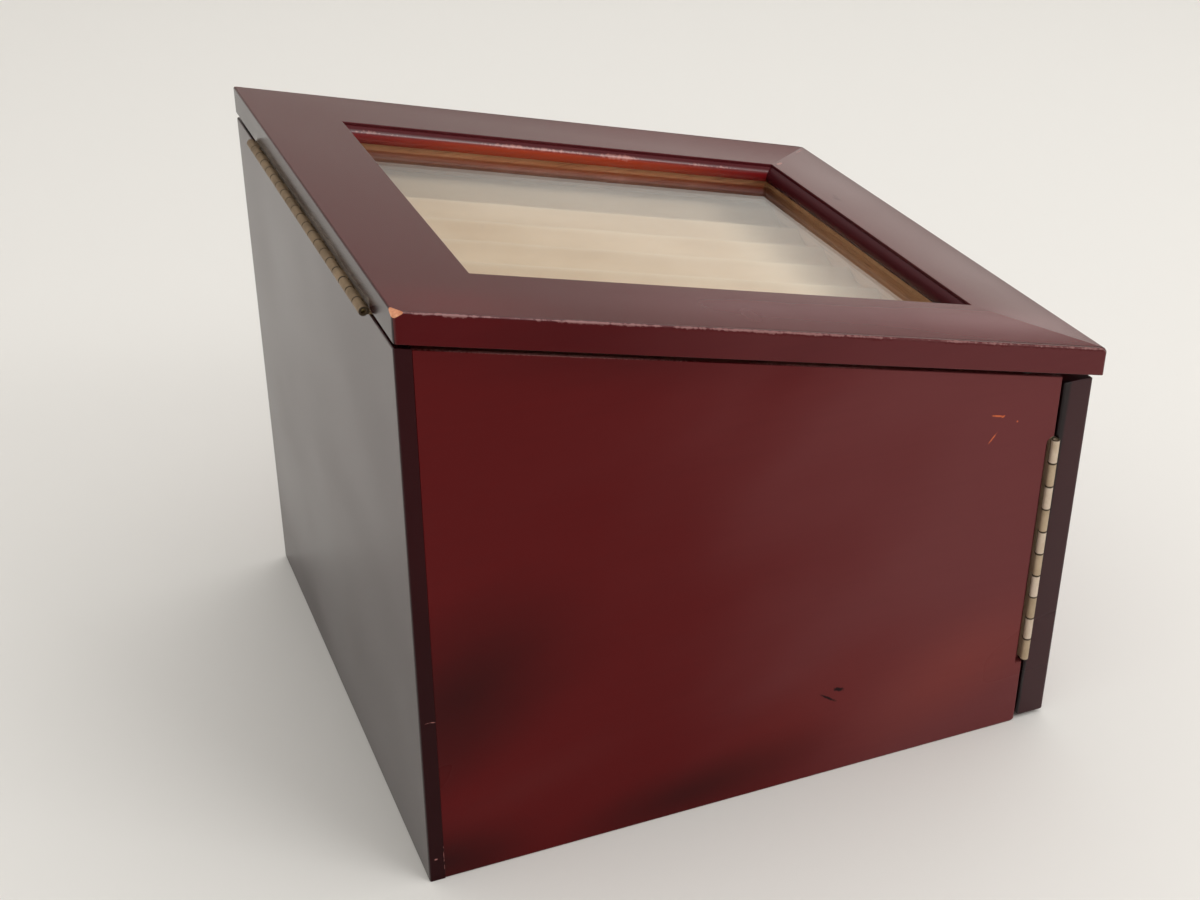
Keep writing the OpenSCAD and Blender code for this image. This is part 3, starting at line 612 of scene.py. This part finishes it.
# The weights stand for the side, the front and the top: first the top front edge, then the
# plumb edges and the corners themselves.
roundings = []
for way in (-1, 1):
    corner = (way * lid_half_w, lid_y, lid_z + lid_t / math.cos(slope))
    faces = ((way, 0, 0), (0, -1, 0), (0, -math.sin(slope), math.cos(slope)))
    if way > 0:
        roundings += round_off(corner, faces, top_radius, [(0, 3, 1), (0, 3, 2), (0, 2, 3), (0, 1, 3)])
    roundings += round_off(corner, faces, plumb_radius, [(2, 1, 0), (1, 1, 0), (1, 2, 0)])
    roundings += round_off(corner, faces, corner_radius, [(1, 1, 1), (1, 2, 2), (2, 1, 2), (2, 1, 1)])

# Bare wood where the corner is gone: torn fibres 1.6 mm wide.
bare, tree, shader, place = new_finish("bare_wood_chip", {"Roughness": 0.75, "Specular IOR Level": 0.3})
torn = ramp(tree, noise(tree, place, 0.0016), 0.3, 0.7)
tree.links.new(tinted(tree, torn, "#AE6240", "#DDA27E"), shader.inputs["Base Color"])
relief(tree, shader, torn, 0.6, 0.0002)

# Scratches at the far front corner and a dent in the front rail. On the near rail, painted reflection: grey
# towards the front and the middle, and deep red at the back corner, painted shade in the reflection.
lid_wear = [
    ("#9A6F68", [((91.9, -113.1, 141.9), (0, 0, -46), (5.5, 0.35, 2)),
                 ((71.2, -93.7, 146.4), (0, 0, -46), (3.4, 0.8, 2))]),
    ("#4A2A2C", [((32.0, -97.0, 145.4), (0, 0, 25), (2.2, 1.2, 2)),
                 ((35.5, -98.2, 145.1), (0, 0, 10), (1.6, 0.7, 2))]),
]
near_rail_reflections = [("#80595B", 0.85, (-82, -90, 143), 0, (15, 60, 40)),
         ("#745053", 0.6, (-82, -5, 165), 0, (15, 60, 40)),
         ("#5E0C12", 0.5, (-92, 86, 188), 0, (12, 30, 20))]
# Two splinters are gone from the foot of the near front corner: (y, z) corners in mm.
splinters = [("#B88F76", ((-118.7, 135.1), (-119.3, 134.4), (-118.6, 132.4), (-117.75, 132.4),
                          (-117.3, 133.7))),
             ("#946A5C", ((-117.0, 133.5), (-117.4, 132.75), (-116.2, 133.1)))]


def beyond(tree, place, way, point):
    """How far a point lies beyond the plane through a given point and square to way."""
    reach = add(tree, "VectorMath", {0: place, 1: way}, operation="DOT_PRODUCT").outputs["Value"]
    return maths(tree, "ADD", reach, -sum(w * p for w, p in zip(way, point)))


def depth_inside(tree, place, corners):
    """How deep a point lies inside a polygon of (y, z) corners in mm on the near side: the
    least of its distances to the polygon's sides, in metres."""
    points = np.array(corners) / 1000
    depth = maths(tree, "SUBTRACT", -outside_x, axes(tree, place)[0])
    for start, end in zip(points, np.roll(points, -1, axis=0)):
        y, z = (end - start) / np.linalg.norm(end - start)
        away = beyond(tree, place, (0, z, -y), (0, start[0], start[1]))
        depth = maths(tree, "MINIMUM", depth, away)
    return depth


def rubbed_edge(tree, colour, depth, wear_and_sheen, specks):
    """The outer top edge, rubbed to a ragged pink line with a red one beside it. depth is
    the distance from the edge."""
    ragged = maths(tree, "MULTIPLY_ADD", specks, 0.0016, depth)
    ragged = maths(tree, "MULTIPLY_ADD", wear_and_sheen, 0.0016, ragged)
    colour = tinted(tree, ramp(tree, ragged, 0.0027, 0.0023, 0.0, 0.6), colour, "#4A070D")
    return tinted(tree, ramp(tree, ragged, 0.0021, 0.0018, 0.0, 0.8), colour, "#8C6260")


def back_face_painted_reflection(tree, place, colour, wear_and_sheen):
    """The sawn back face, with as little red as the back panel. A ragged pale strip along the hinge's barrel
    is a painted reflection: it fills in the dark that the barrel leaves in the face's mirror image."""
    x, y, z = axes(tree, place)
    behind = maths(tree, "GREATER_THAN", y, back_y - 0.0003)
    colour = tinted(tree, behind, colour, "#26080B")
    # Painted reflection: the pale strip along the barrel.
    band_top, band_foot = 0.1890, 0.1864
    band = eased(tree, maths(tree, "MULTIPLY_ADD", wear_and_sheen, 0.004, z), band_top, band_foot)
    from_middle = maths(tree, "ABSOLUTE", maths(tree, "ADD", x, -hinge_middle))
    length = ramp(tree, from_middle, hinge_half + 0.001, hinge_half - 0.0005)
    return tinted(tree, product(tree, band, length, behind, 0.6), colour, "#958D86")


def moulding(tree, colour, shader, level_n, level_u, nose, wear_and_sheen, specks):
    """The side rails' moulding: below its crest it turns maroon, and orange-red along the middle, part thin
    toner and part painted light from the bright tray below; its crest has pink specks, rubbed wear with a
    painted highlight. nose is 1 within the window's edge."""
    crest_n = 0.0065
    reddened = product(tree, eased(tree, level_n, 0.0068, 0.0054), nose)
    colour = tinted(tree, reddened, colour, "#72141A")
    level = shader.inputs["Specular IOR Level"]
    gloss = maths(tree, "MULTIPLY_ADD", reddened, -0.2, level.links[0].from_socket)
    tree.links.new(gloss, level)
    # Painted light: the orange-red is strongest along the middle of the rail.
    ends = [eased(tree, level_u, start, end) for start, end in ((0.03, 0.1), (0.205, 0.14))]
    colour = tinted(tree, product(tree, reddened, *ends), colour, "#9A3416")
    # The crest's pink specks are wear with a painted highlight.
    from_crest = maths(tree, "ABSOLUTE", maths(tree, "ADD", level_n, -crest_n))
    patchy = maths(tree, "MULTIPLY_ADD", specks, 0.4, wear_and_sheen)
    patchy = maths(tree, "MULTIPLY_ADD", from_crest, -240.0, patchy)
    patchy = product(tree, ramp(tree, patchy, 0.62, 0.82, 0.0, 0.7), nose)
    return tinted(tree, patchy, colour, "#C98A80")


def lid_finish(name, moulded):
    """The lid's lacquer, turning mauve towards the front as a painted reflection. Its outer top edge is
    rubbed; its back face has a painted reflection along the hinge; inside the window the coat is flat maroon,
    painted shade, and a moulded rail also has its moulding, part wear and part painted light."""
    finish, tree, shader, place, colour = lacquer(
        name, "#48060A", "#5C292B", 1, (case_d / 2, lid_y), lid_wear, level=0.5,
        dry=(0, lid_half_w, 0.1), roughness=0.24, shades=near_rail_reflections)
    foot = (0, lid_y, lid_z)
    level_n = beyond(tree, place, (0, -math.sin(slope), math.cos(slope)), foot)
    level_u = beyond(tree, place, (0, math.cos(slope), math.sin(slope)), foot)
    out_x = maths(tree, "ABSOLUTE", axes(tree, place)[0])
    wear_and_sheen = noise(tree, place, 0.02, 3.0)
    specks = noise(tree, place, 0.0014, 3.0)
    below = maths(tree, "SUBTRACT", lid_t, level_n)
    inward = maths(tree, "SUBTRACT", lid_half_w, out_x)
    colour = rubbed_edge(tree, colour, maths(tree, "MAXIMUM", below, inward), wear_and_sheen, specks)
    for code, corners in splinters:
        depth = maths(tree, "MULTIPLY_ADD", specks, 0.0003, depth_inside(tree, place, corners))
        colour = tinted(tree, ramp(tree, depth, 0.00005, 0.0003), colour, code)
    # Inside the window, with 0.2 mm to spare.
    middle_u, half_u = sum(window_u) / 2, (window_u[1] - window_u[0]) / 2
    off_u = maths(tree, "ABSOLUTE", maths(tree, "ADD", level_u, -middle_u))
    nose = product(tree, maths(tree, "LESS_THAN", off_u, half_u + 0.0002),
                   maths(tree, "LESS_THAN", out_x, window_x + 0.0002))
    # Painted shade: inside the window the coat is flat dark maroon with little gloss, standing in for the
    # dark it reflects there.
    flat = product(tree, eased(tree, level_n, 0.0068, 0.0073), nose) if moulded else nose
    colour = tinted(tree, flat, colour, "#4C171C" if moulded else "#3C1116")
    dim(tree, shader, ramp(tree, flat, 0.0, 1.0, 1.0, 0.15))
    colour = back_face_painted_reflection(tree, place, colour, wear_and_sheen)
    if moulded:
        colour = moulding(tree, colour, shader, level_n, level_u, nose, wear_and_sheen, specks)
    tree.links.new(colour, shader.inputs["Base Color"])
    return finish


side_rails = lid_finish("cherry_lacquer_side_rails", True)
end_rails = lid_finish("cherry_lacquer_end_rails", False)
for side in ("front", "back", "left", "right"):
    cuts = [(knock[0], knock_normal, 1)] if side in ("back", "left") else []
    if side != "back":
        cuts += roundings
    rail = board_copy(f"lid_rail_{side}", f"rail_{side}", ease_rail, rail_round, cuts)
    rail_finish = side_rails if side in ("left", "right") else end_rails
    place_piece(rail, f"lid_rail_{side}", "lid", "lacquered_wood", rail_finish, bare)

# Glass. A clear float pane let into the lid from below, held in its rebate by four brown
# strips. Light from the lamps reaches the tray through the pane instead of as caustics.
pane, tree, shader, place = new_finish("clear_float_glass", {
    "Base Color": linear("#FCFEFD"), "Roughness": 0.0, "IOR": 1.5, "Transmission Weight": 1.0})
path = add(tree, "LightPath").outputs
through = maths(tree, "MAXIMUM", path["Is Shadow Ray"], path["Is Diffuse Ray"])
clear = add(tree, "BsdfTransparent", {"Color": linear("#FCFEFD")})
either = add(tree, "MixShader", {0: through, 1: shader.outputs[0], 2: clear.outputs[0]})
tree.links.new(either.outputs[0], tree.nodes["Material Output"].inputs["Surface"])
give("lid_glass", pane)
give("glass_strips", lining_along)

# Bumpers. Two pads of moulded black rubber on the tops of the sides, as thick as the
# hinge's leaves, on which the closed lid rests. The rubber has a grey bloom.
rubber, tree, shader, place = new_finish("moulded_rubber", {"Roughness": 0.7, "Specular IOR Level": 0.35})
bloom = noise(tree, place, 0.0015)
tree.links.new(tinted(tree, bloom, "#252120", "#37322F"), shader.inputs["Base Color"])
give("lid_bumpers", rubber)

# Lid hinge. A continuous hinge of thin brass-plated steel: twenty knuckles rolled round a
# pin outside the back face, its leaves let into the lid and the case and screwed down.
metal_round = 0.00012
knuckle = 2 * hinge_half / knuckle_count
lid_knuckles = (0, hinge_middle - hinge_half, knuckle, (0, 0.1066, 0.182639))


def plated_brass(name, light, dull, roughness, metallic, knuckles=None):
    """Dull brass plate: handled brass under a film of dirt, so that it is only part mirror.
    The colour wanders between fresh and tarnished along 8 mm patches. knuckles is (axis,
    start, pitch, a point on the axis) of a barrel, whose joints hold a line of old dirt."""
    finish, tree, shader, place = new_finish(name, {"Metallic": metallic})
    patch = ramp(tree, noise(tree, place, 0.008, 4.0, 0.6), 0.3, 0.7)
    colour = tinted(tree, patch, dull, light)
    if knuckles:
        axis, start, pitch, centre = knuckles
        barrel_r = 0.0016
        along = maths(tree, "ADD", axes(tree, place)[axis], -start)
        along = maths(tree, "PINGPONG", along, pitch / 2)
        grime = maths(tree, "MULTIPLY_ADD", patch, -0.0003, along)
        grime = ramp(tree, grime, 0.0003, 0.0, 0.0, 0.9)
        off = add(tree, "VectorMath", {0: place, 1: centre}, operation="SUBTRACT").outputs[0]
        across = [float(i != axis) for i in range(3)]
        off = add(tree, "VectorMath", {0: off, 1: across}, operation="MULTIPLY").outputs[0]
        off = add(tree, "VectorMath", {0: off}, operation="LENGTH").outputs["Value"]
        grime = product(tree, grime, maths(tree, "LESS_THAN", off, barrel_r))
        colour = tinted(tree, grime, colour, "#33250F")
    tree.links.new(colour, shader.inputs["Base Color"])
    gloss = ramp(tree, patch, 0.0, 1.0, roughness + 0.08, roughness - 0.04)
    tree.links.new(gloss, shader.inputs["Roughness"])
    relief(tree, shader, noise(tree, place, 0.0006), 0.15, 0.00003)
    return finish


def ease_metal(middle, run, normals):
    """Tumbled sheet metal: every outer edge is broken by 0.12 mm."""
    return metal_round


lid_brass = plated_brass("brass_plate_lid_hinge", "#927A5C", "#6E5A42", 0.55, 0.2, lid_knuckles)
screw_brass = plated_brass("brass_screws", "#B9A878", "#94825A", 0.35, 0.9)
case_leaf = board_copy("lid_hinge_case_leaf", "lid_hinge_lower_leaf", ease_metal, metal_round, steps=2)
place_piece(case_leaf, "lid_hinge_case_leaf", "case", "brass", lid_brass)
lid_leaf = board_copy("lid_hinge_lid_leaf", "lid_hinge_upper_leaf", ease_metal, metal_round, steps=2)
place_piece(lid_leaf, "lid_hinge_lid_leaf", "lid", "brass", lid_brass)
for node in ("lid_hinge_pin", "lid_hinge_case_screws", "lid_hinge_lid_screws"):
    give(node, screw_brass)

# Door. One lacquered board over the whole front, hung on a short brass hinge whose barrel
# lies in a notch of the left side, with a turned brass knob and a magnetic catch.
door_round, door_half_w, door_back = 0.001, 0.0985, -0.1062
door_knuckles = (2, 0.0263, 0.00848, (-0.099, -0.1056, 0))


def ease_door(middle, run, normals):
    """Long edges of the panel and the tops of its ends: 1 mm at the back, 0.4 elsewhere."""
    if run.length < 0.008 or (run.length < 0.02 and middle.z < 0.1):
        return 0.0
    return door_round if middle.y > door_back - 0.0003 else 0.0004


door_lacquer, tree, shader, place, colour = lacquer(
    "cherry_lacquer_door", "#331317", "#5A1216", 0, (-door_half_w, 0.006 - door_half_w), level=0.25)
# Painted shade: the back of its hinged end, beside the gap, is darkened nearly black in a strip that widens
# to the top.
parts = axes(tree, place)
gap_shade = maths(tree, "MULTIPLY_ADD", parts[2], 0.0146, parts[1])
gap_shade = eased(tree, gap_shade, -0.1075, -0.1063, 0.0, 0.9)
hinged_end = ramp(tree, parts[0], 0.002 - door_half_w, 0.001 - door_half_w)
colour = tinted(tree, product(tree, gap_shade, hinged_end), colour, "#0C0406")
tree.links.new(colour, shader.inputs["Base Color"])
door = board_copy("door_panel", "door_board", ease_door, door_round)
place_piece(door, "door_panel", "door", "lacquered_wood", door_lacquer)
pale_brass = plated_brass("brass_plate_pale", "#D8C7B6", "#C0AC92", 0.5, 0.4, door_knuckles)
dull_brass = plated_brass("brass_plate_dull", "#BDA88D", "#A18C70", 0.5, 0.4, door_knuckles)
for node, body, finish in (("door_hinge_case_leaf", "case", dull_brass),
                           ("door_hinge_door_leaf", "door", pale_brass)):
    leaf = board_copy(node, node.replace("door_hinge", "side_hinge"), ease_metal, metal_round, steps=2)
    place_piece(leaf, node, body, "brass", finish)
for node in ("door_hinge_pin", "door_hinge_case_screws", "door_hinge_door_screws"):
    give(node, screw_brass)


def ease_none(middle, run, normals):
    """Edges that the solid already has right."""
    return 0.0


polished_brass = plated_brass("turned_brass", "#C2AE7C", "#9C875A", 0.26, 1.0)
knob = board_copy("door_knob", "turned_door_knob", ease_none, 0.0001)
place_piece(knob, "door_knob", "door", "brass", polished_brass)
# Nickel plate, wiped unevenly.
nickel, tree, shader, place = new_finish("nickel_plate", {"Metallic": 1.0})
wipe = noise(tree, place, 0.002, 3.0)
tree.links.new(tinted(tree, wipe, "#A9A9AA", "#C6C6C4"), shader.inputs["Base Color"])
tree.links.new(ramp(tree, wipe, 0.0, 1.0, 0.28, 0.42), shader.inputs["Roughness"])
for node in ("door_knob_screw", "catch_magnet", "catch_strike"):
    give(node, nickel)

# Drawers. Three shallow pen drawers behind the door: lacquered fronts, stained sides and
# bottoms, a grooved velvet insert and a small turned knob each.
drawer_round, drawer_half_w, drawer_front_y = 0.0005, 0.0894, -0.093
drawer_lacquer = lacquer("cherry_lacquer_drawers", "#4E0A0C", "#62181A", 0,
                         (-drawer_half_w, drawer_half_w))[0]


def ease_drawer(middle, run, normals):
    """Long front edges of a drawer front, 0.5 mm."""
    return drawer_round if run.length > 0.02 and middle.y < drawer_front_y + near else 0.0


for i in (1, 2, 3):
    low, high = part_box(f"drawer_{i}_insert")
    front = board_copy(f"drawer_{i}_front", f"drawer_front_{i}", ease_drawer, drawer_round)
    place_piece(front, f"drawer_{i}_front", "case", "lacquered_wood", drawer_lacquer)
    for part in ("side_left", "side_right"):
        give(f"drawer_{i}_{part}", mahogany_along)
    for part in ("back", "bottom"):
        give(f"drawer_{i}_{part}", mahogany_across)
    pad = grooved_velvet(f"velvet_insert_{i}", high.x - low.x, low.y, high.y, lambda y, n: high.z + n + 0 * y)
    place_piece(pad, f"drawer_{i}_insert", "case", "velvet", velvet)
    pull = board_copy(f"drawer_{i}_knob", f"drawer_pull_{i}", ease_none, 0.0001)
    place_piece(pull, f"drawer_{i}_knob", "case", "brass", polished_brass)

low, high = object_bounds()
